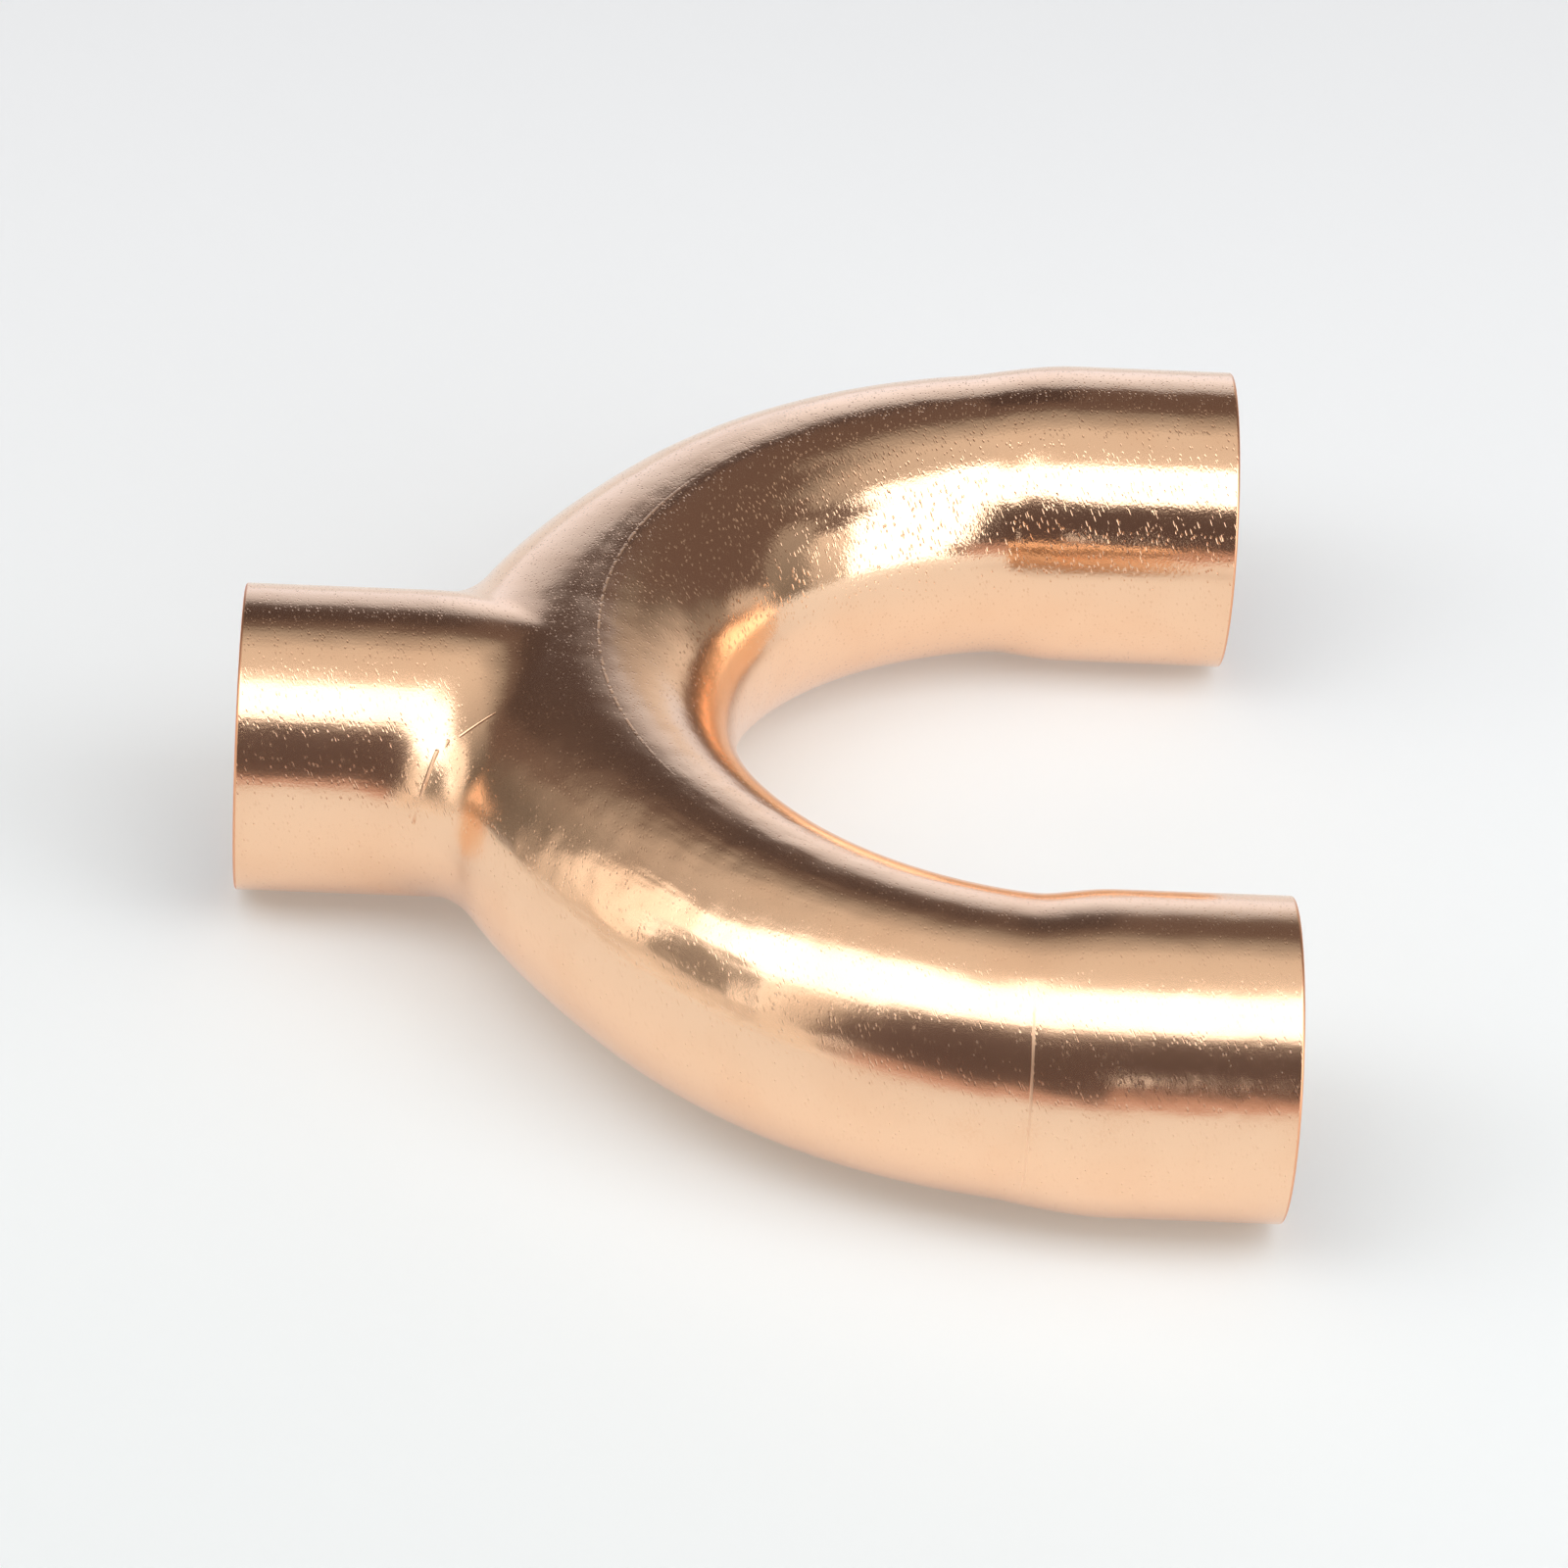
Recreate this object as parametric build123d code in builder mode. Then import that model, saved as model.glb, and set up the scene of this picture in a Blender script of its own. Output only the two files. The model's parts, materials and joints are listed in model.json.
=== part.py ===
"""Copper wye fitting, hydroformed from one length of tube.

A half-circle return bend ends in two parallel outlet sockets. An inlet collar is drawn
out of the back of the bend, and points away from the outlets. The fitting is hollow.

Millimetres. +X runs from the inlet to the outlets, +Y across the two legs, +Z up. The
origin is under the middle of the fitting's box, on the surface that it lies on.
"""

import os
from math import cos, pi, radians, sin

from build123d import *

os.makedirs("parts", exist_ok=True)

# The tube that each of the three sockets takes, and the gap round it for solder
tube_od = 22.225
solder_gap = 0.0525

# Walls: the bend and its outlet sockets keep the tube's wall, the drawn inlet is thinner
wall = 1.0
inlet_wall = 0.8

# Return bend: its bore is narrower than the sockets', so that a tube stops against it
leg_spacing = 76.2
tube_stop = 0.765

# Back of the bend, swollen towards the inlet and fading out along the bend on both sides
back_swell = 2.6
swell_angle = 40.0
swell_steps = 4

# Inlet collar, from its mouth: the depth of its socket, the taper behind it, and the neck
# that runs on to the bend's centre line, a little lower than the crest that it dies into
inlet_depth = 14.0
inlet_taper = 11.0
neck_run = 2.3
neck_below_crest = 0.2
root_radius = 10.0

# Outlet sockets: how far their mouths stand out from the bend's centre, their full depth,
# the gentle taper behind it, and the ring where the punch stopped
outlet_reach = 13.9
outlet_depth = 14.5
bell_taper = 5.6
ring_below_crest = 0.05
ring_ramp = 0.8
shoulder_radius = 15.0
ring_round = 0.3

# Broken edges at the three cut mouths
mouth_bevel = 0.25

# Worked out from the sizes above
socket_radius = tube_od / 2 + solder_gap
outlet_outer_radius = socket_radius + wall
inlet_outer_radius = socket_radius + inlet_wall
bend_outer_radius = socket_radius - tube_stop + wall
bend_radius = leg_spacing / 2
neck_start = -(bend_radius + neck_run)
inlet_mouth = neck_start - inlet_taper - inlet_depth
outlet_mouth = outlet_reach
ring_x = outlet_mouth - outlet_depth - bell_taper
bend_centre_x = -(inlet_mouth + outlet_mouth) / 2
axis_height = max(outlet_outer_radius, inlet_outer_radius, bend_outer_radius)

# The passage is cut past the mouths by this much
overrun = 1.0


def side_plane(y):
    """Upright plane along the legs, at y from the middle, seen from -Y."""
    return Plane(origin=(bend_centre_x, y, axis_height), x_dir=(1, 0, 0), z_dir=(0, -1, 0))


def leg_axis(y):
    """Line along +X, in the plane of the tube's centre line, at y from the middle."""
    return Axis((bend_centre_x, y, axis_height), (1, 0, 0))


def bend_plane(angle):
    """Plane square to the bend's centre line, angle degrees round from its back."""
    outward = (-cos(radians(angle)), sin(radians(angle)), 0)
    along = (sin(radians(angle)), cos(radians(angle)), 0)
    centre = Vector(bend_centre_x, 0, axis_height) + Vector(*outward) * bend_radius
    return Plane(origin=centre, x_dir=outward, z_dir=along)


def swell_at(angle):
    """How far the back of the bend stands out past its round section at this angle."""
    return back_swell * cos(pi / 2 * angle / swell_angle) ** 2


def wye_form(inset, outlet_radius, inlet_radius, past_mouth):
    """Outside of the fitting, or with an inset of one wall, the passage inside it."""
    tube_radius = bend_outer_radius - inset
    neck_radius = tube_radius - neck_below_crest
    ring_radius = tube_radius - ring_below_crest
    inlet_end = inlet_mouth - past_mouth
    outlet_end = outlet_mouth + past_mouth
    taper_start = neck_start - inlet_taper
    taper_middle = neck_start - inlet_taper / 2

    with BuildPart() as form:
        # Back of the bend, through sections that grow outwards to its middle
        for step in range(swell_steps + 1):
            angle = swell_angle * (2 * step / swell_steps - 1)
            swell = swell_at(angle)
            with BuildSketch(bend_plane(angle)):
                with Locations((swell / 2, 0)):
                    Ellipse(tube_radius + swell / 2, tube_radius)
        loft()

        # Round rest of the bend, turned from each leg to the swollen back
        for side in (-1, 1):
            with BuildSketch(bend_plane(90 * side)):
                Circle(tube_radius)
            turn = Axis((bend_centre_x, 0, axis_height), (0, 0, side))
            revolve(axis=turn, revolution_arc=90 - swell_angle)

        # Inlet collar, turned about the fitting's middle line
        with BuildSketch(side_plane(0)):
            with BuildLine():
                socket = Polyline((inlet_end, 0), (inlet_end, inlet_radius), (taper_start, inlet_radius))
                taper = Bezier(
                    socket @ 1,
                    (taper_middle, inlet_radius),
                    (taper_middle, neck_radius),
                    (neck_start, neck_radius),
                )
                Polyline(taper @ 1, (-bend_radius, neck_radius), (-bend_radius, 0), (inlet_end, 0))
            make_face()
        revolve(axis=leg_axis(0))

        # Drawn root of the collar, rounded into the bend. Its edges are the only ones that
        # run across the collar's neck in all three directions.
        root_edges = [
            edge
            for edge in form.edges()
            if edge.bounding_box().max.X < bend_centre_x - bend_radius + neck_run
            and edge.bounding_box().min.X > bend_centre_x + taper_start
            and min(edge.bounding_box().size) > 1
        ]
        fillet(root_edges, root_radius + inset)

        # Outlet sockets, turned about the legs' own axes
        for leg_y in (-bend_radius, bend_radius):
            with BuildSketch(side_plane(leg_y)):
                with BuildLine():
                    bell = FilletPolyline(
                        (outlet_end, outlet_radius),
                        (outlet_mouth - outlet_depth, outlet_radius),
                        (ring_x, ring_radius),
                        (ring_x - ring_ramp, ring_radius - ring_ramp),
                        radius=(shoulder_radius, ring_round),
                    )
                    Polyline(bell @ 1, (ring_x - ring_ramp, 0), (outlet_end, 0), (outlet_end, outlet_radius))
                make_face()
            revolve(axis=leg_axis(leg_y))
    return form.part


outside = wye_form(0, outlet_outer_radius, inlet_outer_radius, 0)
passage = wye_form(wall, socket_radius, socket_radius, overrun)

with BuildPart() as wye_body:
    add(outside)
    add(passage, mode=Mode.SUBTRACT)
    mouths = wye_body.faces().filter_by(Axis.X)
    chamfer(mouths.edges(), mouth_bevel)

wye_body.part.label = "wye_body"
export_step(wye_body.part, "parts/wye_body.step")
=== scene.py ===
"""Copper wye fitting, dressed for a studio picture.

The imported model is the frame. The fitting's skin is rebuilt here as a fine mesh of the same
form, in bright drawn copper, and stands on a plain pale floor in soft light.
"""

import json
from math import cos, pi, radians, sin, tan

import bmesh
import bpy
import numpy as np
from bpy.props import FloatProperty, FloatVectorProperty, IntProperty, PointerProperty
from mathutils import Matrix, Vector


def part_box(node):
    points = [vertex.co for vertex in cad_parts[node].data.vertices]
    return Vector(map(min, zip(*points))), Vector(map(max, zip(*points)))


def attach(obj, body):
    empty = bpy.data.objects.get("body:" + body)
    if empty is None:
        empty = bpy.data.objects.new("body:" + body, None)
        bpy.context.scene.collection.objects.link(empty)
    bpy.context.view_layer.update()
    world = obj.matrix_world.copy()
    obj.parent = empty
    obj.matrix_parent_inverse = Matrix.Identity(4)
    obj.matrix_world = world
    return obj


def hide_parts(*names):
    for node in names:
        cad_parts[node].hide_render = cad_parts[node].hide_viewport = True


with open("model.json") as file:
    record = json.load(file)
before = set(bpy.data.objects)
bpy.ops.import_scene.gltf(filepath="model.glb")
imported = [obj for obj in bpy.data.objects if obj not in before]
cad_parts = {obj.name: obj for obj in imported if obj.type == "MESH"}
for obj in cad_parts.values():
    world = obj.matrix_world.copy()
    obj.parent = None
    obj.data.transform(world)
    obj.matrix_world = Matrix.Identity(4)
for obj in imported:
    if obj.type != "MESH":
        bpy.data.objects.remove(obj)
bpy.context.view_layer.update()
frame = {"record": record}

bl_info = {
    "name": "Copper Wye Fitting",
    "version": (1, 0, 0),
    "blender": (4, 5, 0),
    "location": "3D Viewport > Sidebar > Wye",
    "description": "Builds a copper wye fitting's skin and finish, and a studio round it",
    "category": "Object",
}

MOUNTS = {mount["name"]: mount for mount in frame["record"]["mounts"]}
SOCKET_RADIUS = MOUNTS["inlet"]["dims"]["r_mm"] / 1000
BEND_RADIUS = MOUNTS["far_outlet"]["pos_m"][1]
AXIS_HEIGHT = MOUNTS["inlet"]["pos_m"][2]


def length(default, name, description):
    """A length in metres that a user may change."""
    return FloatProperty(name=name, description=description, default=default, unit="LENGTH", precision=5)


class WyeSizes(bpy.types.PropertyGroup):
    """Sizes of the fitting, as its part gives them."""

    wall: length(0.001, "Wall", "Wall of the bend and of the outlet sockets")
    inlet_wall: length(0.0008, "Inlet wall", "Wall of the inlet socket")
    tube_stop: length(0.000765, "Tube stop", "How far the bend's bore is narrower than a socket's")
    back_swell: length(0.0026, "Back swell", "How far the back of the bend stands out at the inlet")
    swell_angle: FloatProperty(
        name="Swell angle",
        description="How far round the bend the swell reaches on each side",
        default=radians(40),
        subtype="ANGLE",
    )
    inlet_depth: length(0.014, "Inlet depth", "Depth of the inlet socket")
    inlet_taper: length(0.011, "Inlet taper", "Length of the taper behind the inlet socket")
    neck_run: length(0.0023, "Neck run", "Straight neck from the taper to the bend's centre line")
    neck_below_crest: length(0.0002, "Neck below crest", "How much lower the neck is than the bend")
    root_radius: length(0.01, "Root radius", "Rounding between the inlet collar and the bend")
    outlet_reach: length(0.0139, "Outlet reach", "Outlet mouths, out from the bend's centre")
    outlet_depth: length(0.0145, "Outlet depth", "Depth of the outlet sockets")
    bell_taper: length(0.0056, "Bell taper", "Length of the taper behind an outlet socket")
    ring_below_crest: length(0.00005, "Ring below crest", "How much lower the ring is than the bend")
    ring_ramp: length(0.0008, "Ring ramp", "Length of the ramp behind the ring")
    shoulder_radius: length(0.015, "Shoulder radius", "Rounding between a socket and its taper")
    ring_round: length(0.0003, "Ring rounding", "Rounding of the ring's edge")
    ring_blend: length(0.001, "Ring blend", "How softly the ring dies into the bend")
    mouth_round: length(0.00025, "Mouth rounding", "Rounding of the cut edges")
    around: IntProperty(name="Faces around", description="Faces round each tube", default=128, min=16)
    outer_step: length(0.0006, "Outer step", "Length of a face along the outside")
    inner_step: length(0.0012, "Inner step", "Length of a face along the passage")


def colour(default, name, description):
    """A colour that a user may change."""
    return FloatVectorProperty(
        name=name, description=description, default=default, subtype="COLOR", min=0, max=1
    )


class WyeColours(bpy.types.PropertyGroup):
    """Colours of the copper and of the floor."""

    bright: colour((0.94, 0.63, 0.415), "Bright copper", "Clean metal")
    tarnished: colour((0.88, 0.53, 0.32), "Tarnished copper", "Faint clouds and stains in the metal")
    pitted: colour((0.78, 0.42, 0.25), "Pitted copper", "Bottoms of the pits and scratches")
    cut: colour((0.80, 0.36, 0.19), "Cut copper", "Cut edges of the three mouths")
    bore: colour((0.80, 0.45, 0.27), "Bore", "Duller metal inside the tube")
    paper: colour((0.90, 0.94, 0.97), "Paper", "Floor in the light")


def rounded_line(corners, radii, steps=12):
    """Points of a line through the corners, with its inner corners rounded to the radii."""
    points = [np.array(corners[0], float)]
    for index, radius in enumerate(radii):
        before, corner, after = (np.array(p, float) for p in corners[index : index + 3])
        back = (before - corner) / np.linalg.norm(before - corner)
        ahead = (after - corner) / np.linalg.norm(after - corner)
        half = np.arccos(np.clip(back @ ahead, -1, 1)) / 2
        middle = (back + ahead) / np.linalg.norm(back + ahead)
        centre = corner + middle * radius / sin(half)
        start = corner + back * radius / tan(half) - centre
        end = corner + ahead * radius / tan(half) - centre
        sweep = pi - 2 * half
        for part in np.linspace(0, 1, steps):
            points.append(centre + (sin((1 - part) * sweep) * start + sin(part * sweep) * end) / sin(sweep))
    points.append(np.array(corners[-1], float))
    return np.array(points)


class WyeForm:
    """One skin of the fitting: the outside, or the passage one wall inside it.

    Its own x runs from the bend's centre towards the outlets. On the bend, a place is an
    angle round from the back and an angle round the tube, both 0 on the outermost line.
    """

    def __init__(self, sizes, inset, outlet_radius, inlet_radius):
        self.sizes = sizes
        self.tube_radius = SOCKET_RADIUS - sizes.tube_stop + sizes.wall - inset
        self.ball_radius = sizes.root_radius + inset
        self.outlet_radius = outlet_radius
        self.inlet_radius = inlet_radius
        self.centre = np.array([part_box("wye_body")[1][0] - sizes.outlet_reach, 0, AXIS_HEIGHT])

        # Bell: socket, shoulder, taper, ring and ramp, as radii along the leg
        mouth = sizes.outlet_reach
        shoulder = mouth - sizes.outlet_depth
        ring = shoulder - sizes.bell_taper
        ring_radius = self.tube_radius - sizes.ring_below_crest
        corners = [
            (mouth, outlet_radius),
            (shoulder, outlet_radius),
            (ring, ring_radius),
            (ring - sizes.ring_ramp, ring_radius - sizes.ring_ramp),
        ]
        self.ring_x = ring
        self.bell = rounded_line(corners, (sizes.shoulder_radius, sizes.ring_round))[::-1]

        # Inlet collar: socket, S-shaped taper and neck, as radii along its axis
        neck_radius = self.tube_radius - sizes.neck_below_crest
        neck_x = -(BEND_RADIUS + sizes.neck_run)
        taper_x = neck_x - sizes.inlet_taper
        middle_x = neck_x - sizes.inlet_taper / 2
        self.inlet_mouth = taper_x - sizes.inlet_depth
        part = np.linspace(0, 1, 801)[:, None]
        pulls = (
            (taper_x, inlet_radius),
            (middle_x, inlet_radius),
            (middle_x, neck_radius),
            (neck_x, neck_radius),
        )
        shares = (1 - part) ** 3, 3 * (1 - part) ** 2 * part, 3 * (1 - part) * part**2, part**3
        taper = sum(share * np.array(pull) for share, pull in zip(shares, pulls))
        self.collar = np.vstack([[(self.inlet_mouth, inlet_radius)], taper, [(-BEND_RADIUS, neck_radius)]])

    def swell(self, turn):
        """How far the back of the bend stands out at this angle round it."""
        part = np.clip(np.abs(turn) / self.sizes.swell_angle, 0, 1)
        return self.sizes.back_swell * np.cos(pi / 2 * part) ** 2

    def bend(self, turn, girth):
        """Points on the bend."""
        swell = self.swell(turn)
        reach = BEND_RADIUS + swell / 2 + (self.tube_radius + swell / 2) * np.cos(girth)
        up = self.tube_radius * np.sin(girth)
        return self.centre + np.stack([-np.cos(turn) * reach, np.sin(turn) * reach, up], -1)

    def bend_slopes(self, turn, girth):
        """Slopes of the bend along both its angles, and its outward normal."""
        small = 1e-5
        along = (self.bend(turn + small, girth) - self.bend(turn - small, girth)) / (2 * small)
        across = (self.bend(turn, girth + small) - self.bend(turn, girth - small)) / (2 * small)
        normal = np.cross(across, along)
        return along, across, normal / np.linalg.norm(normal, axis=-1, keepdims=True)

    def bend_foot(self, points):
        """The place on the bend that is nearest to each point outside it."""
        local = points - self.centre
        turn = np.arctan2(local[..., 1], -local[..., 0])
        girth = np.arctan2(local[..., 2], np.hypot(local[..., 0], local[..., 1]) - BEND_RADIUS)
        for _ in range(25):
            along, across, _normal = self.bend_slopes(turn, girth)
            off = points - self.bend(turn, girth)
            aa, ac, cc = (along * along).sum(-1), (along * across).sum(-1), (across * across).sum(-1)
            a, c = (along * off).sum(-1), (across * off).sum(-1)
            # A point far off the convex side would overshoot, so its steps are shorter
            ease = 1 / (1 + np.linalg.norm(off, axis=-1) / self.tube_radius) / (aa * cc - ac**2)
            turn = turn + (cc * a - ac * c) * ease
            girth = girth + (aa * c - ac * a) * ease
        return turn, girth

    def collar_radius(self, x):
        """Radius of the inlet collar along its axis, and its slope."""
        small = 2e-5
        radius = np.interp(x, *self.collar.T)
        slope = (np.interp(x + small, *self.collar.T) - np.interp(x - small, *self.collar.T)) / (2 * small)
        return radius, slope

    def collar_point(self, x, radius, azimuth):
        """Points round the inlet's axis. Azimuth is 0 on the near side and rises to the top."""
        spread = np.broadcast_arrays(x, -radius * np.cos(azimuth), radius * np.sin(azimuth))
        return self.centre + np.stack(spread, -1)

    def root(self, azimuth):
        """Ball that rolls between collar and bend: its centre, and where it touches each."""

        def ball(x):
            radius, slope = self.collar_radius(x)
            lean = np.hypot(1, slope)
            along = x - self.ball_radius * slope / lean
            return self.collar_point(along, radius + self.ball_radius / lean, azimuth)

        low = np.full(len(azimuth), self.inlet_mouth)
        high = np.full(len(azimuth), -BEND_RADIUS)
        for _ in range(40):
            x = (low + high) / 2
            centre = ball(x)
            turn, girth = self.bend_foot(centre)
            normal = self.bend_slopes(turn, girth)[2]
            clear = ((centre - self.bend(turn, girth)) * normal).sum(-1) > self.ball_radius
            low, high = np.where(clear, x, low), np.where(clear, high, x)
        return centre, x, turn, girth

    def leg_section(self, along, girth):
        """Where the near leg's section lies: its centre, and the way from it to each point.

        Along is measured on the centre line from the bend's start, and is positive towards
        the mouth.
        """
        turn = np.where(along > 0, -pi / 2, -pi / 2 - along / BEND_RADIUS)
        out = np.stack([-np.cos(turn), np.sin(turn), np.zeros_like(turn)], -1)
        axis = BEND_RADIUS * out + np.maximum(along, 0)[..., None] * np.array([1.0, 0, 0])
        ray = out * np.cos(girth)[..., None] + np.array([0, 0, 1.0]) * np.sin(girth)[..., None]
        return axis, ray

    def bell_radius(self, along, girth):
        """Distance from the leg's centre line to the bell."""
        axis, ray = self.leg_section(along, girth)
        bell = np.full(along.shape, self.tube_radius)
        for _ in range(30):
            spot = axis + ray * bell[..., None]
            wide = np.hypot(spot[..., 1] + BEND_RADIUS, spot[..., 2])
            bell = bell + 0.7 * (np.interp(spot[..., 0], *self.bell.T, left=0) - wide)
        return bell

    def leg(self, along, girth):
        """Points on the near leg, where its bell dies softly into the bend."""
        radius = 0
        weights = 0
        for part in np.linspace(-2, 2, 9):
            weight = np.exp(-part * part / 2)
            bell = self.bell_radius(along + part * self.sizes.ring_blend, girth)
            radius = radius + weight * np.maximum(bell, self.tube_radius)
            weights += weight
        axis, ray = self.leg_section(along, girth)
        return self.centre + axis + ray * (radius / weights)[..., None]


def spaced(start, end, step):
    """Evenly spaced values from start to end, about a step apart."""
    return np.linspace(start, end, max(2, int(round(abs(end - start) / step)) + 1))


# Where the junction's patches meet the plain bend, and where the three tubes' skins part on
# the crest: angles round the bend and round the tube
JUNCTION_TURN = radians(50)
PARTING_GIRTH = radians(112)
COLLAR_CLEARANCE = radians(7)

# Faces that hold an edge: the first row behind a mouth's rounding, and the rows on both sides
# of the line where a bell's ring dies into the bend
EDGE_FACE = 0.00005
CREASE_FACE = 0.00022
AHEAD_OF_CREASE = 0.002
BEHIND_CREASE = 0.0024
SKIRT_ROWS = 12
WELD_DISTANCE = 1e-6


def near_patches(form, step):
    """Grids of points that make up the near half of one skin, all but the mouths' rims."""
    sizes = form.sizes
    half = sizes.around // 2
    girths = 2 * pi * np.arange(sizes.around + 1) / sizes.around

    # Leg: plain sections, drawn together where the bell dies into the bend
    mouth = sizes.outlet_reach - sizes.mouth_round
    junction = -(pi / 2 - JUNCTION_TURN) * BEND_RADIUS
    scan = np.linspace(form.ring_x - sizes.ring_ramp, 0, 400)[:, None]
    proud = form.bell_radius(*np.broadcast_arrays(scan, girths[None])) > form.tube_radius
    crease = scan[np.argmax(proud, axis=0), 0]
    rows = [np.broadcast_to(along, girths.shape) for along in mouth - np.array([0, EDGE_FACE])]
    for part in spaced(0, 1, step / (mouth - form.ring_x))[1:]:
        rows.append(mouth - EDGE_FACE + part * (crease + AHEAD_OF_CREASE - mouth + EDGE_FACE))
    for offset in spaced(AHEAD_OF_CREASE, -BEHIND_CREASE, CREASE_FACE)[1:]:
        rows.append(crease + offset)
    for part in spaced(0, 1, step / (crease.min() - BEHIND_CREASE - junction))[1:]:
        rows.append(crease - BEHIND_CREASE + part * (junction - crease + BEHIND_CREASE))
    leg = form.leg(np.array(rows), np.broadcast_to(girths, (len(rows), len(girths))))

    # Inside of the bend, from the junction's edge to the middle, below the parting line
    part = spaced(0, 1, step / (JUNCTION_TURN * BEND_RADIUS))[:, None]
    share = np.arange(half + 1)[None] / half
    turn = -JUNCTION_TURN * (1 - part)
    edge = pi / 2 + pi * share
    middle = PARTING_GIRTH + (2 * pi - 2 * PARTING_GIRTH) * share
    inside = form.bend(*np.broadcast_arrays(turn, (1 - part) * edge + part * middle))

    # Outside of the bend, from the junction's edge to a line round the collar's root
    azimuth = pi / 2 - pi * np.arange(half + 1) / half
    centre, x, root_turn, root_girth = form.root(azimuth)
    share = np.abs(root_turn) / np.abs(root_turn).max()
    line_turn = root_turn + np.sign(root_turn) * share * COLLAR_CLEARANCE
    line_girth = root_girth + np.sign(azimuth) * (1 - share) ** 3 * (PARTING_GIRTH - root_girth[0])
    outside = form.bend(
        -JUNCTION_TURN * (1 - part) + part * line_turn[None],
        (1 - part) * azimuth[None] + part * line_girth[None],
    )
    part = spaced(0, 1, 1 / SKIRT_ROWS)[:, None]
    skirt = form.bend(
        (1 - part) * line_turn[None] + part * root_turn[None],
        (1 - part) * line_girth[None] + part * root_girth[None],
    )

    # Rounded root: arcs on the ball from the bend to the collar
    radius, _slope = form.collar_radius(x)
    start = (form.bend(root_turn, root_girth) - centre) / form.ball_radius
    end = (form.collar_point(x, radius, azimuth) - centre) / form.ball_radius
    sweep = np.arccos(np.clip((start * end).sum(-1), -1, 1))[None, :, None]
    part = spaced(0, 1, step / (form.ball_radius * sweep.max()))[:, None, None]
    arc = (np.sin((1 - part) * sweep) * start + np.sin(part * sweep) * end) / np.sin(sweep)
    root = centre + form.ball_radius * arc

    # Collar, from the root to its mouth
    rim = form.inlet_mouth + sizes.mouth_round
    part = spaced(0, 1, step / (x.max() - rim))[:, None]
    along = (1 - part) * x[None] + part * (rim + EDGE_FACE)
    along = np.vstack([along, np.full_like(x, rim)[None]])
    collar = form.collar_point(along, form.collar_radius(along)[0], azimuth[None])
    return [leg, inside, outside, skirt, root, collar]


def rim_profile(mouth, inward, outer, inner, rounding):
    """Rounded cut end of a tube, as (along, radius) from the outside to the bore."""
    corners = [
        (mouth + inward * rounding, outer),
        (mouth, outer),
        (mouth, inner),
        (mouth + inward * rounding, inner),
    ]
    almost = rounding * 0.999
    return rounded_line(corners, (almost, almost), 6)


def rim_patches(outside, passage):
    """Grids of the near half's cut ends: the near outlet's, and half of the inlet's."""
    sizes = outside.sizes
    turn = 2 * pi * np.arange(sizes.around + 1) / sizes.around
    radii = outside.outlet_radius, passage.outlet_radius
    profile = rim_profile(sizes.outlet_reach, -1, *radii, sizes.mouth_round)
    along, radius = profile.T[:, :, None]
    spread = np.broadcast_arrays(along, -BEND_RADIUS - radius * np.cos(turn), radius * np.sin(turn))
    outlet = outside.centre + np.stack(spread, -1)

    azimuth = pi / 2 - 2 * pi * np.arange(sizes.around // 2 + 1) / sizes.around
    radii = outside.inlet_radius, passage.inlet_radius
    profile = rim_profile(outside.inlet_mouth, 1, *radii, sizes.mouth_round)
    along, radius = profile.T[:, :, None]
    inlet = outside.collar_point(along, radius, azimuth[None])
    return [outlet, inlet]


def mesh_from_patches(name, outer, inner):
    """One closed mesh from the near half's grids and their mirror images.

    Points of the inner grids carry a bore value of 1, for the duller metal in there.
    """
    points, faces, bore = [], [], []
    for patch, mark in [(patch, 0.0) for patch in outer] + [(patch, 1.0) for patch in inner]:
        for side in (1, -1):
            start = len(points)
            height, width = patch.shape[:2]
            points.extend((patch * np.array([1, side, 1])).reshape(-1, 3))
            bore.extend([mark] * (height * width))
            for row in range(height - 1):
                for column in range(width - 1):
                    first = start + row * width + column
                    faces.append((first, first + 1, first + width + 1, first + width)[::side])
    mesh = bpy.data.meshes.new(name)
    mesh.from_pydata(np.array(points).tolist(), [], faces)
    mesh.attributes.new("bore", "FLOAT", "POINT").data.foreach_set("value", bore)
    shape = bmesh.new()
    shape.from_mesh(mesh)
    bmesh.ops.remove_doubles(shape, verts=shape.verts, dist=WELD_DISTANCE)
    bmesh.ops.recalc_face_normals(shape, faces=shape.faces)
    shape.to_mesh(mesh)
    shape.free()
    mesh.shade_smooth()
    return mesh


class Value:
    """A shader value: one socket, whose arithmetic adds Math nodes."""

    def __init__(self, finish, socket):
        self.finish = finish
        self.socket = socket

    def __add__(self, other):
        return self.finish.maths("ADD", self, other)

    def __radd__(self, other):
        return self.finish.maths("ADD", other, self)

    def __sub__(self, other):
        return self.finish.maths("SUBTRACT", self, other)

    def __rsub__(self, other):
        return self.finish.maths("SUBTRACT", other, self)

    def __mul__(self, other):
        return self.finish.maths("MULTIPLY", self, other)

    def __rmul__(self, other):
        return self.finish.maths("MULTIPLY", other, self)


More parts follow.
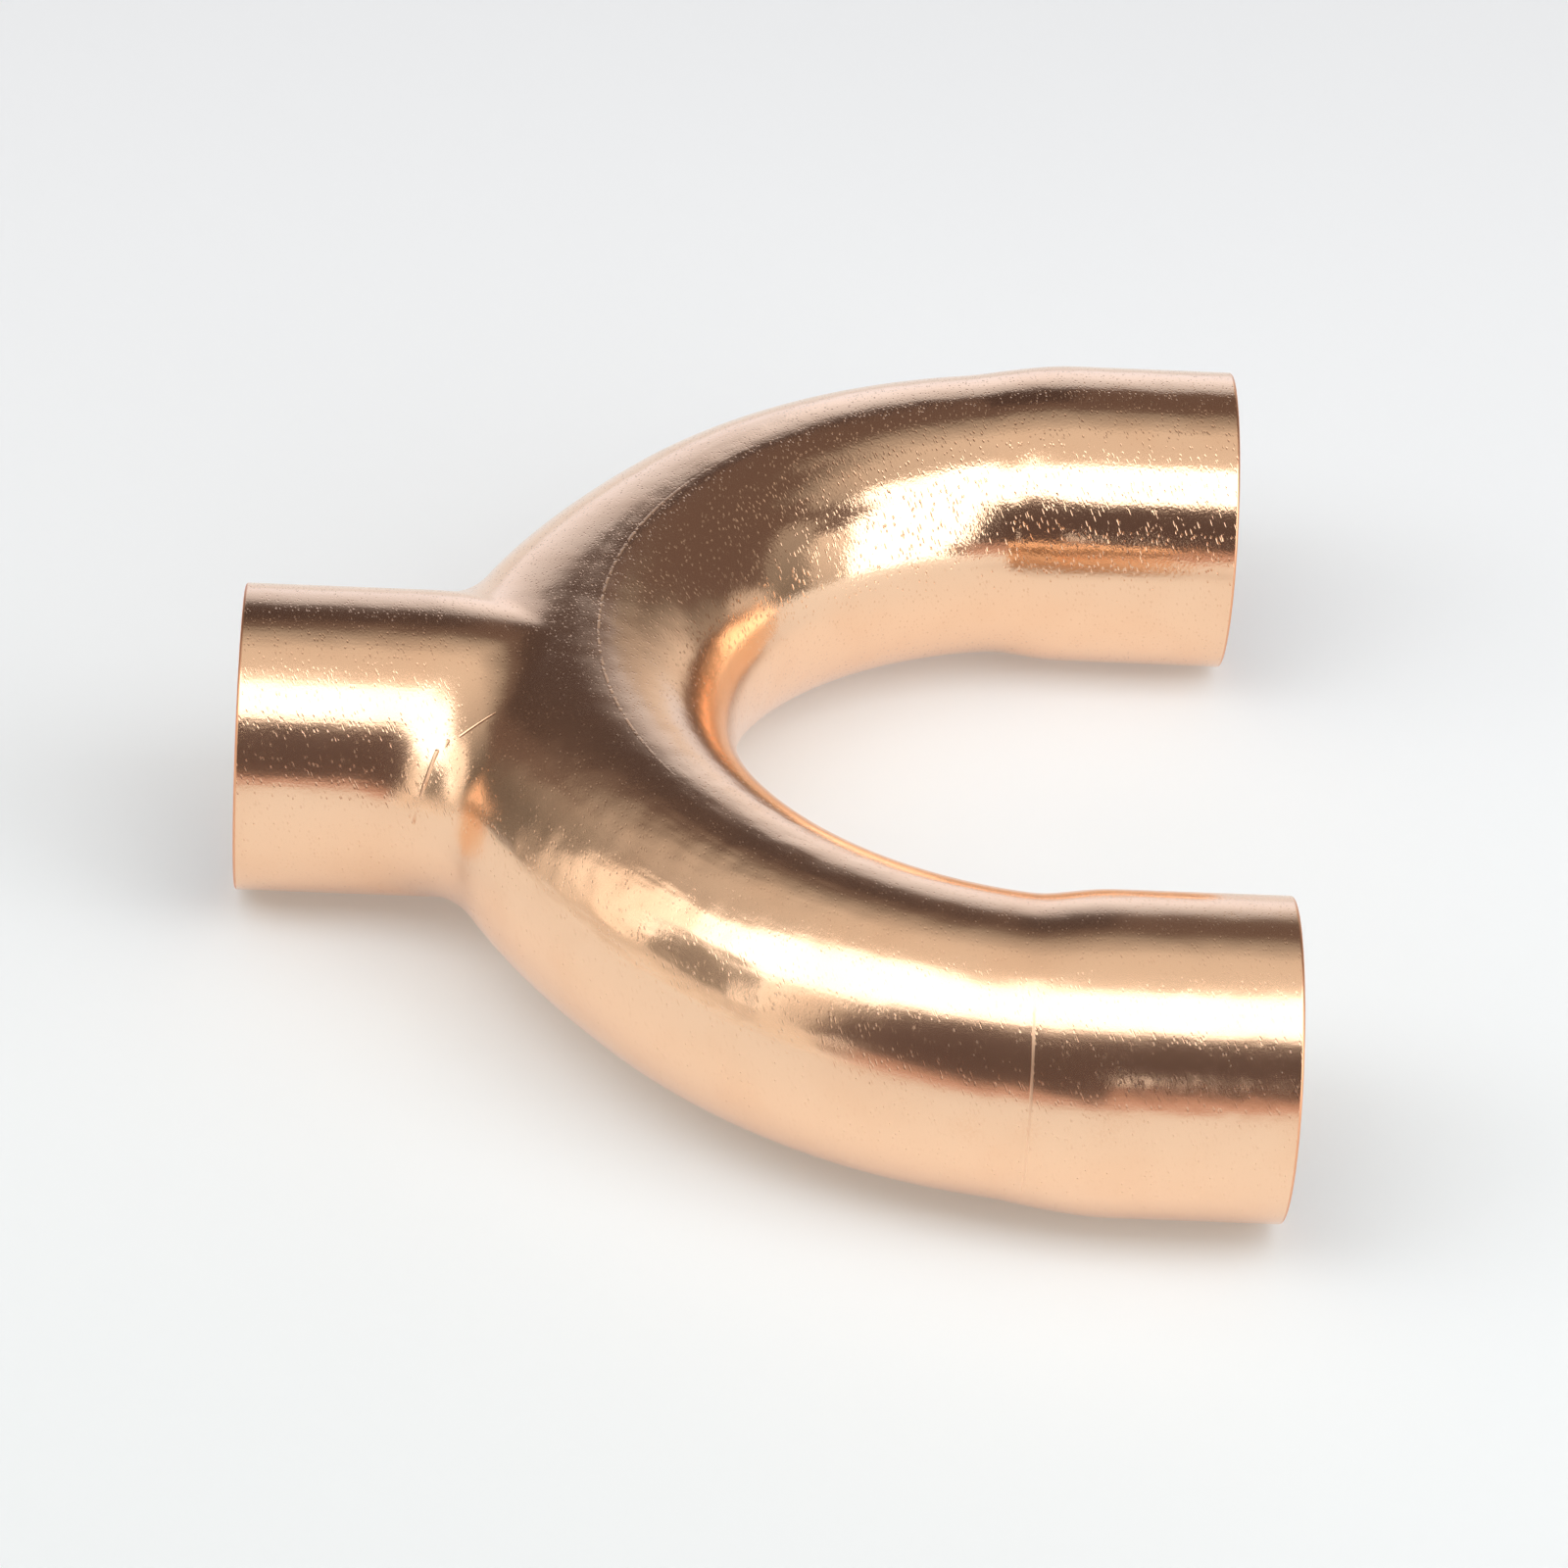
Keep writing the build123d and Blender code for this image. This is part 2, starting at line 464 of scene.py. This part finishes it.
class Finish:
    """Nodes of a material or of the world, built up one by one."""

    def __init__(self, owner):
        owner.use_nodes = True
        self.tree = owner.node_tree
        self.tree.nodes.clear()

    def node(self, kind, settings, inputs, output=0):
        """Adds a node with its settings, then its sockets' values or links. Returns one output."""
        node = self.tree.nodes.new(kind)
        for name, setting in settings.items():
            setattr(node, name, setting)
        for name, value in inputs.items():
            if isinstance(value, Value):
                self.tree.links.new(value.socket, node.inputs[name])
            else:
                node.inputs[name].default_value = value
        return Value(self, node.outputs[output]) if node.outputs else None

    def maths(self, operation, *values):
        """A Math node of this operation."""
        return self.node("ShaderNodeMath", {"operation": operation}, dict(enumerate(values)))

    def vector(self, operation, *values, output=0):
        """A Vector Math node of this operation."""
        return self.node("ShaderNodeVectorMath", {"operation": operation}, dict(enumerate(values)), output)

    def along(self, vector, axis):
        """How far a vector reaches along an axis."""
        return self.vector("DOT_PRODUCT", vector, axis, output="Value")

    def between(self, value, start, end):
        """Rises softly from 0 to 1 as the value goes from start to end."""
        inputs = {"Value": value, "From Min": start, "From Max": end}
        return self.node("ShaderNodeMapRange", {"interpolation_type": "SMOOTHSTEP"}, inputs)

    def noise(self, vector, scale, detail=1.0):
        """Soft noise from 0 to 1, of this many features a millimetre."""
        inputs = {"Vector": vector, "Scale": scale, "Detail": detail}
        return self.node("ShaderNodeTexNoise", {}, inputs, "Fac")

    def cells(self, vector):
        """Random cells, one to a unit: the distance to a cell's middle, and a chance for each cell."""
        distance = self.node("ShaderNodeTexVoronoi", {}, {"Vector": vector, "Scale": 1.0}, "Distance")
        return distance, Value(self, distance.socket.node.outputs["Color"])

    def spot(self, place, centre, radius):
        """1 in the middle of a round spot, and 0 from its edge."""
        distance = self.vector("DISTANCE", place, centre, output="Value")
        return self.between(distance, radius, 0.0)

    def scratch(self, place, start, end, width):
        """1 on the line from start to end, and 0 from its edge."""
        line = Vector(end) - Vector(start)
        off = self.vector("SUBTRACT", place, start)
        share = self.along(off, tuple(line / line.length_squared))
        share = self.maths("MINIMUM", self.maths("MAXIMUM", share, 0.0), 1.0)
        foot = self.node("ShaderNodeVectorMath", {"operation": "SCALE"}, {0: tuple(line), "Scale": share})
        distance = self.vector("DISTANCE", off, foot, output="Value")
        return self.between(distance, width, width / 4)

    def split(self, vector):
        """The three parts of a vector."""
        first = self.node("ShaderNodeSeparateXYZ", {}, {"Vector": vector})
        return [Value(self, socket) for socket in first.socket.node.outputs]

    def join(self, x, y, z):
        """A vector of three parts."""
        return self.node("ShaderNodeCombineXYZ", {}, {"X": x, "Y": y, "Z": z})

    def mix(self, share, first, second):
        """A colour between two."""
        first, second = ((*one, 1) if isinstance(one, tuple) else one for one in (first, second))
        return self.node("ShaderNodeMix", {"data_type": "RGBA"}, {0: share, 6: first, 7: second}, 2)


# Marks on the skin, in millimetres from the fitting's origin
DEEP_SCRATCHES = (
    ((-24.2, -11.0, 18.7), (-25.0, -12.35, 16.6)),
    ((-25.0, -12.35, 16.6), (-25.8, -13.2, 13.6)),
    ((-23.4, -10.6, 19.4), (-24.6, -12.6, 15.6)),
)
FINE_SCRATCH = ((-22.5, -10.6, 19.9), (-19.9, -9.6, 21.5))
STAINS = ((15.9, -48.5, 12.5), (20.1, -49.5, 13.4), (25.6, -50.2, 13.7), (9.0, 22.0, 11.0))
PITTED_BEND = (13.0, 26.0, 19.5)
BROKEN_BEND = (-7.0, -32.0, 19.0)
STREAKED_BEND = (-3.0, 27.0, 23.0)
DENTED_LEG = (33.0, -48.0, 17.0)
NICK_ALONG = (0.36, -0.51, -0.78)
NICK_ACROSS = (0.93, 0.20, 0.30)
NICK_THROUGH = (0.0, 0.84, -0.55)
CREST_OUT = 37.95
RING_X = 20.0
MOUTH_X = (39.40, 39.50)

# How deep or tall the marks are, in millimetres
GRAIN_HEIGHT = 0.0075
LINE_HEIGHT = 0.002
WAVE_HEIGHT = 0.045
BROKEN_WAVE_HEIGHT = 0.05
RIPPLE_HEIGHT = 0.004
BROKEN_RIPPLE_HEIGHT = 0.045
STREAK_HEIGHT = 0.025
DENT_HEIGHT = 0.035
PIT_DEPTH = 0.017
NICK_DEPTH = 0.015
SCRATCH_DEPTH = 0.05
FINE_SCRATCH_DEPTH = 0.02
RIDGE_HEIGHT = 0.02
RING_HEIGHT = 0.012
MILLIMETRE = 0.001


def tube_place(finish, place):
    """Place in the drawn tube: out from the bend's centre, up, and along the tube."""
    x, y, z = finish.split(place)
    centre_x = (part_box("wye_body")[1][0] - bpy.context.scene.wye_sizes.outlet_reach) / MILLIMETRE
    back = finish.maths("MINIMUM", x - centre_x, 0.0)
    leg = finish.maths("MAXIMUM", x - centre_x, 0.0)
    out = finish.maths("SQRT", back * back + y * y)
    turn = finish.maths("ARCTAN2", y, 0.0 - back)
    path = turn * (BEND_RADIUS / MILLIMETRE) + leg * finish.maths("SIGN", y)
    return out, z, path


def copper(colours):
    """Bright drawn copper: fine grain, pits, nicks, drawn lines, scratches and faint stains."""
    material = bpy.data.materials.new("copper")
    finish = Finish(material)
    metres = finish.node("ShaderNodeTexCoord", {}, {}, "Object")
    place = finish.node("ShaderNodeVectorMath", {"operation": "SCALE"}, {0: metres, "Scale": 1 / MILLIMETRE})
    x, y, z = finish.split(place)
    bore = finish.node("ShaderNodeAttribute", {"attribute_name": "bore"}, {}, "Fac")

    # Where the skin is rough from drawing: most on the far leg, least on the near one
    far = finish.between(y, -14.0, 28.0)
    pitted_bend = finish.spot(place, PITTED_BEND, 18.0)
    broken_bend = finish.spot(place, BROKEN_BEND, 24.0)
    streaked_bend = finish.spot(place, STREAKED_BEND, 14.0)
    dented_leg = finish.spot(place, DENTED_LEG, 12.0)
    collar = finish.between(x, -20.0, -25.0)
    clouds = finish.noise(place, 0.16, 2.0)
    coarse = 0.35 + 0.65 * far + 0.5 * pitted_bend + 0.35 * collar

    # Heights, in millimetres
    grain = finish.noise(place, 4.2)
    across = finish.along(place, NICK_ACROSS)
    through = finish.along(place, NICK_THROUGH)
    down = finish.along(place, NICK_ALONG) + 0.5 * clouds
    cell, chance = finish.cells(finish.join(across * 3.8, through * 2.7, down * 1.6))
    pits = finish.between(cell, 0.38, 0.10) * finish.between(chance, 0.40, 0.75)
    slash, _chance = finish.cells(finish.join(across * 4.0, through * 1.4, down * 0.6))
    nicks = finish.between(slash, 0.24, 0.05)
    out, up, path = tube_place(finish, place)
    drawn = finish.join(out, up, path * 0.03)
    along_collar = finish.vector("MULTIPLY", place, (0.06, 1.0, 1.0))
    courses = {0: collar, 4: drawn, 5: along_collar}
    course = finish.node("ShaderNodeMix", {"data_type": "VECTOR"}, courses, 1)
    lines = finish.noise(course, 3.5, 2.0) * (1.0 + collar)
    waves = finish.noise(place, 0.30, 1.0)
    ripples = finish.noise(finish.join(out, up, path * 0.3), 0.9, 1.0)
    blotches = finish.noise(place, 0.55, 1.0)
    scratches = 0.0
    for start, end in DEEP_SCRATCHES:
        scratches = finish.scratch(place, start, end, 0.2) + scratches
    fine_scratch = finish.scratch(place, *FINE_SCRATCH, 0.12)
    ridge = finish.between(finish.maths("ABSOLUTE", out - CREST_OUT), 0.15, 0.03)
    ridge = ridge * finish.between(z, 23.0, 23.3)
    ridge = ridge * finish.between(finish.maths("ABSOLUTE", path - 3.0), 30.0, 12.0)
    ridge = ridge * finish.between(finish.noise(place, 1.7), 0.38, 0.56)
    ring = finish.between(finish.maths("ABSOLUTE", x - RING_X), 0.16, 0.03)
    ring = ring * finish.between(y, -44.0, -46.0)
    ring = ring * finish.between(z, 4.0, 10.0) * finish.between(z, 22.0, 20.5)

    height = grain * coarse * GRAIN_HEIGHT + lines * LINE_HEIGHT
    height = height + waves * (WAVE_HEIGHT + BROKEN_WAVE_HEIGHT * broken_bend)
    rippled = RIPPLE_HEIGHT + BROKEN_RIPPLE_HEIGHT * broken_bend + STREAK_HEIGHT * streaked_bend
    height = height + ripples * rippled
    height = height + blotches * dented_leg * DENT_HEIGHT - fine_scratch * FINE_SCRATCH_DEPTH
    height = height - pits * coarse * PIT_DEPTH - nicks * coarse * NICK_DEPTH
    height = height - scratches * SCRATCH_DEPTH + ridge * RIDGE_HEIGHT + ring * RING_HEIGHT

    # Colour and gloss
    stains = 0.0
    for centre in STAINS:
        stains = finish.spot(place, centre, 2.2) + stains
    stains = stains * finish.between(grain, 0.3, 0.7)
    tarnish = finish.between(clouds, 0.42, 0.75) * 0.28 + stains * 0.35
    tint = finish.mix(tarnish, tuple(colours.bright), tuple(colours.tarnished))
    marks = pits * coarse * 0.5 + nicks * 0.25 + scratches * 0.2 + fine_scratch
    tint = finish.mix(finish.maths("MINIMUM", marks, 0.8), tint, tuple(colours.pitted))
    cut = finish.between(finish.maths("ABSOLUTE", x), *MOUTH_X)
    tint = finish.mix(cut * 0.8, tint, tuple(colours.cut))
    tint = finish.mix(bore, tint, tuple(colours.bore))
    scuffed = finish.maths("MINIMUM", scratches + ridge * 0.9 + ring * 0.7, 1.0)
    gloss = 0.11 + 0.06 * clouds + 0.05 * (1.0 - far)
    gloss = gloss + pits * 0.1 + scuffed * 0.3 + cut * 0.2 + bore * 0.22

    bump = finish.node("ShaderNodeBump", {}, {"Height": height, "Distance": MILLIMETRE, "Strength": 1.0})
    inputs = {"Base Color": tint, "Metallic": 1.0, "Roughness": gloss, "Normal": bump}
    metal = finish.node("ShaderNodeBsdfPrincipled", {}, inputs)
    finish.node("ShaderNodeOutputMaterial", {}, {"Surface": metal})
    return material


class WYE_OT_build_fitting(bpy.types.Operator):
    """Build the copper fitting's skin over its frame"""

    bl_idname = "wye.build_fitting"
    bl_label = "Build Fitting"

    def execute(self, context):
        sizes = context.scene.wye_sizes
        outside = WyeForm(sizes, 0, SOCKET_RADIUS + sizes.wall, SOCKET_RADIUS + sizes.inlet_wall)
        passage = WyeForm(sizes, sizes.wall, SOCKET_RADIUS, SOCKET_RADIUS)
        outer = near_patches(outside, sizes.outer_step) + rim_patches(outside, passage)
        inner = near_patches(passage, sizes.inner_step)
        mesh = mesh_from_patches("wye_skin", outer, inner)
        skin = bpy.data.objects.new("wye_skin", mesh)
        context.scene.collection.objects.link(skin)
        mesh.materials.append(copper(context.scene.wye_colours))
        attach(skin, "root")
        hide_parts("wye_body")
        return {"FINISHED"}


CAMERA_AIM = (0.00273, -0.00382)
CAMERA_AZIMUTH = radians(-2.63)
CAMERA_ELEVATION = radians(33.59)
CAMERA_ROLL = radians(3.667)
CAMERA_DISTANCE = 0.572
CAMERA_LENS = 168.97


WHITE = (1.0, 1.0, 1.0)
WARM = (1.0, 0.93, 0.86)
COOL = (0.80, 0.86, 1.0)
BROWN = (1.0, 0.73, 0.71)
RUST = (1.0, 0.65, 0.55)

# How bright the softboxes are, the least glow that lights the scene by itself, how high the
# ceiling hangs, and how far off the cards behind, to the right and to the left stand
SOFTBOX = 2.65
LEAST_LAMP = 2.0
CEILING = 0.45
REAR = 0.5
RIGHT = 0.75
LEFT = -1.3

# Share of the floor's own glow that a camera sees, and that a mirror shows
SEEN_GLOW = 0.18
MIRRORED_GLOW = 0.26


def card(name, centre, size, facing, colour, level, top_level=None, spin=0.0):
    """Flat studio card that glows: a softbox if it is bright, a flag if it is dark.

    Its glow goes from level at its foot to top_level at its top. Spin leans it in its own
    plane. Only light and reflections see it.
    """
    bpy.ops.mesh.primitive_plane_add(size=1)
    sheet = bpy.context.object
    sheet.name = name
    sheet.visible_camera = False
    facing = Vector(facing).normalized()
    up = Vector((0, 1, 0)) if abs(facing.z) > 0.9 else Vector((0, 0, 1))
    up = (up - facing * up.dot(facing)).normalized()
    turn = Matrix((up.cross(facing), up, facing)).transposed().to_4x4()
    turn = turn @ Matrix.Rotation(spin, 4, "Z") @ Matrix.Diagonal((*size, 1, 1))
    sheet.matrix_world = Matrix.Translation(centre) @ turn

    material = bpy.data.materials.new(name)
    finish = Finish(material)
    tone = (*colour, 1)
    strength = level if top_level is None else max(level, top_level)
    if top_level is not None:
        foot, top = (tuple(part * share / strength for part in colour) for share in (level, top_level))
        height = finish.split(finish.node("ShaderNodeTexCoord", {}, {}, "Object"))[1]
        tone = finish.mix(height + 0.5, foot, top)
    glow = finish.node("ShaderNodeEmission", {}, {"Color": tone, "Strength": strength})
    # A dim card lights little, so it is only looked for by mirrored and scattered rays
    material.cycles.emission_sampling = "NONE" if strength < LEAST_LAMP else "AUTO"
    finish.node("ShaderNodeOutputMaterial", {}, {"Surface": glow})
    sheet.data.materials.append(material)


def overhead(name, centre, size, colour, level, top_level=None, spin=0.0, above=0.0):
    """A card that hangs face down at the ceiling's height, or a little above it."""
    card(name, (*centre, CEILING + above), size, (0, 0, -1), colour, level, top_level, spin)


def upright(name, left, right, foot, top, y, colour, level, top_level=None, spin=0.0):
    """A card that stands square to the legs, in front of the fitting or behind it."""
    centre = ((left + right) / 2, y, (foot + top) / 2)
    card(name, centre, (right - left, top - foot), (0, -y, 0), colour, level, top_level, spin)


def sideways(name, front, rear, foot, top, x, colour, level, top_level=None):
    """A card that stands along the legs, to the left or the right of the fitting."""
    centre = (x, (front + rear) / 2, (foot + top) / 2)
    card(name, centre, (rear - front, top - foot), (-x, 0, 0), colour, level, top_level)


def floor_finish(paper_colour):
    """Pale paper that keeps the fitting's shadow, and glows softly to a camera or a mirror."""
    material = bpy.data.materials.new("floor")
    finish = Finish(material)
    paper = finish.node("ShaderNodeBsdfDiffuse", {}, {"Color": (*paper_colour, 1)})
    depth = finish.split(finish.node("ShaderNodeTexCoord", {}, {}, "Object"))[1]
    seen = finish.node("ShaderNodeLightPath", {}, {}, "Is Camera Ray")
    mirrored = finish.node("ShaderNodeLightPath", {}, {}, "Is Glossy Ray")
    # Painted light on the floor: its glow is dimmer and tinted at the front and grows to white towards the
    # back
    tone = finish.mix(finish.between(depth, -0.09, 0.12), (0.80, 0.86, 0.80), (1.0, 1.0, 1.0))
    tone = finish.mix(mirrored, tone, (0.96, 0.96, 0.97))
    glow = finish.node("ShaderNodeEmission", {}, {"Color": tone, "Strength": 1.1})
    share = seen * SEEN_GLOW + mirrored * MIRRORED_GLOW
    mixed = finish.node("ShaderNodeMixShader", {}, {0: share, 1: paper, 2: glow})
    finish.node("ShaderNodeOutputMaterial", {}, {"Surface": mixed})
    return material


class WYE_OT_build_stage(bpy.types.Operator):
    """Build the floor, the studio cards, the surroundings and the camera"""

    bl_idname = "wye.build_stage"
    bl_label = "Build Stage"

    def execute(self, context):
        scene = context.scene
        scene.view_settings.view_transform = "Standard"

        bpy.ops.mesh.primitive_plane_add(size=12)
        floor = context.object
        floor.name = "floor"
        floor.data.materials.append(floor_finish(scene.wye_colours.paper))

        # Soft light from above and in front, with dark shapes in front of it
        overhead("key_softbox", (0.1, -1.325), (4.6, 2.4), WHITE, SOFTBOX)
        overhead("key_strip", (0.0, -0.0725), (0.9, 0.105), WHITE, SOFTBOX, above=0.002)
        overhead("ceiling", (0.025, -0.0025), (0.19, 0.245), WARM, 0.8)
        overhead("ceiling_left", (-0.245, 0.03), (0.18, 0.35), WARM, 0.45, 0.78, pi / 2)
        overhead("ceiling_right", (0.21, 0.025), (0.19, 0.18), WARM, 0.78, 0.6, pi / 2)
        overhead("ceiling_corner", (0.375, 0.05), (0.14, 0.15), WARM, 0.58, 0.35, pi / 2)
        overhead("ceiling_fade", (-0.11, 0.20), (0.62, 0.16), WARM, 0.66, 0.25)
        overhead("fade_corner", (0.28, 0.16), (0.16, 0.08), WARM, 0.45, 0.22)

        # Dark shapes in front, which the near leg and the bend show as bands
        upright("flag", 0.03, 0.20, 0.05, 0.262, -0.25, BROWN, 0.10, spin=radians(-9))
        upright("flag_wing", -0.20, 0.05, 0.04, 0.285, -0.251, BROWN, 0.11, spin=radians(14))
        upright("flag_foot", -0.16, 0.22, 0.0, 0.07, -0.252, RUST, 0.75, 0.36)
        upright("wing_side", -0.26, -0.19, 0.0, 0.29, -0.253, WARM, 0.98, 0.72)
        upright("wing_end", -0.345, -0.26, 0.0, 0.30, -0.254, WARM, 0.85, 1.4)
        card("left_board", (-0.44, -0.19, 0.05), (0.19, 0.10), (0.94, 0.34, 0), WARM, 1.0, 0.7)
        card("left_board_top", (-0.44, -0.19, 0.22), (0.19, 0.24), (0.94, 0.34, 0), WARM, 0.22, 0.30)

        # Windows and walls to the right and the left
        card("right_window", (1.25, -0.7, 0.55), (0.9, 1.1), (-0.9, 0.5, 0), WHITE, SOFTBOX)
        sideways("right_board", -0.17, 0.03, 0.0, 0.44, RIGHT, WARM, 0.6, 0.95)
        sideways("right_wall", 0.03, 0.24, 0.0, 0.60, RIGHT, WARM, 0.20, 0.45)
        sideways("left_window_foot", -0.27, -0.03, 0.0, 0.22, LEFT, WARM, 0.75)
        sideways("left_window", -0.27, -0.03, 0.22, 1.6, LEFT, WARM, 1.5)
        sideways("left_edge", -0.03, 0.20, 0.0, 0.75, LEFT, WARM, 0.7, 1.45)
        sideways("left_edge_top", -0.03, 0.20, 0.75, 1.6, LEFT, WARM, 1.45)
        sideways("left_wall", 0.20, 0.75, 0.0, 0.55, LEFT, WARM, 0.15)
        sideways("left_wall_top", 0.20, 0.75, 0.55, 1.5, LEFT, WARM, 0.16, 0.5)

        # Pale sweep behind, which fades into the dark of the room
        upright("left_sweep", -0.23, -0.02, 0.0, 0.13, REAR, COOL, 1.3, 1.0)
        upright("left_sweep_top", -0.23, -0.02, 0.13, 0.27, REAR, COOL, 0.98, 0.64)
        upright("sweep", -0.02, 0.11, 0.0, 0.14, REAR, COOL, 1.3)
        upright("sweep_top", -0.02, 0.11, 0.14, 0.31, REAR, COOL, 1.25, 0.6)
        upright("rear_dark", -0.5, 0.06, 0.27, 0.60, REAR + 0.01, BROWN, 0.08)
        upright("next_sweep", 0.11, 0.20, 0.0, 0.11, REAR, COOL, 1.1)
        upright("next_sweep_top", 0.11, 0.20, 0.11, 0.38, REAR, WARM, 0.92, 0.13)
        upright("side_sweep", 0.20, 0.38, 0.0, 0.13, REAR, WARM, 0.95, 0.82)
        upright("side_sweep_top", 0.20, 0.38, 0.13, 0.33, REAR, WARM, 0.78, 0.13)
        upright("far_sweep", 0.38, 0.76, 0.0, 0.28, REAR, WARM, 0.5, 0.2)
        upright("end_sweep", 0.76, 1.9, 0.0, 0.30, REAR, WARM, 0.95, 0.6)

        world = bpy.data.worlds.new("studio")
        scene.world = world
        finish = Finish(world)
        seen = finish.node("ShaderNodeLightPath", {}, {}, "Is Camera Ray")
        tone = finish.mix(seen, (0.15, 0.11, 0.10), (0.86, 0.875, 0.865))
        room = finish.node("ShaderNodeBackground", {}, {"Color": tone})
        finish.node("ShaderNodeOutputWorld", {}, {"Surface": room})

        camera = bpy.data.objects.new("camera", bpy.data.cameras.new("camera"))
        scene.collection.objects.link(camera)
        aim = Matrix.Translation((*CAMERA_AIM, AXIS_HEIGHT))
        turn = Matrix.Rotation(CAMERA_AZIMUTH, 4, "Z")
        tilt = Matrix.Rotation(pi / 2 - CAMERA_ELEVATION, 4, "X")
        back = Matrix.Translation((0, 0, CAMERA_DISTANCE))
        camera.matrix_world = aim @ turn @ tilt @ back @ Matrix.Rotation(CAMERA_ROLL, 4, "Z")
        camera.data.lens = CAMERA_LENS
        camera.data.clip_end = 50
        scene.camera = camera
        return {"FINISHED"}


class WYE_PT_panel(bpy.types.Panel):
    """Sidebar panel that lists the fitting's steps and sizes"""

    bl_idname = "WYE_PT_panel"
    bl_label = "Copper Wye Fitting"
    bl_space_type = "VIEW_3D"
    bl_region_type = "UI"
    bl_category = "Wye"

    def draw(self, context):
        layout = self.layout
        layout.operator(WYE_OT_build_fitting.bl_idname)
        layout.operator(WYE_OT_build_stage.bl_idname)
        for group in (context.scene.wye_sizes, context.scene.wye_colours):
            for name in group.bl_rna.properties.keys():
                if name not in ("rna_type", "name"):
                    layout.prop(group, name)


CLASSES = (WyeSizes, WyeColours, WYE_OT_build_fitting, WYE_OT_build_stage, WYE_PT_panel)


def register():
    for item in CLASSES:
        bpy.utils.register_class(item)
    bpy.types.Scene.wye_sizes = PointerProperty(type=WyeSizes)
    bpy.types.Scene.wye_colours = PointerProperty(type=WyeColours)


def unregister():
    del bpy.types.Scene.wye_sizes
    del bpy.types.Scene.wye_colours
    for item in reversed(CLASSES):
        bpy.utils.unregister_class(item)


def main():
    register()
    bpy.ops.wye.build_fitting()
    bpy.ops.wye.build_stage()


if __name__ == "__main__":
    main()
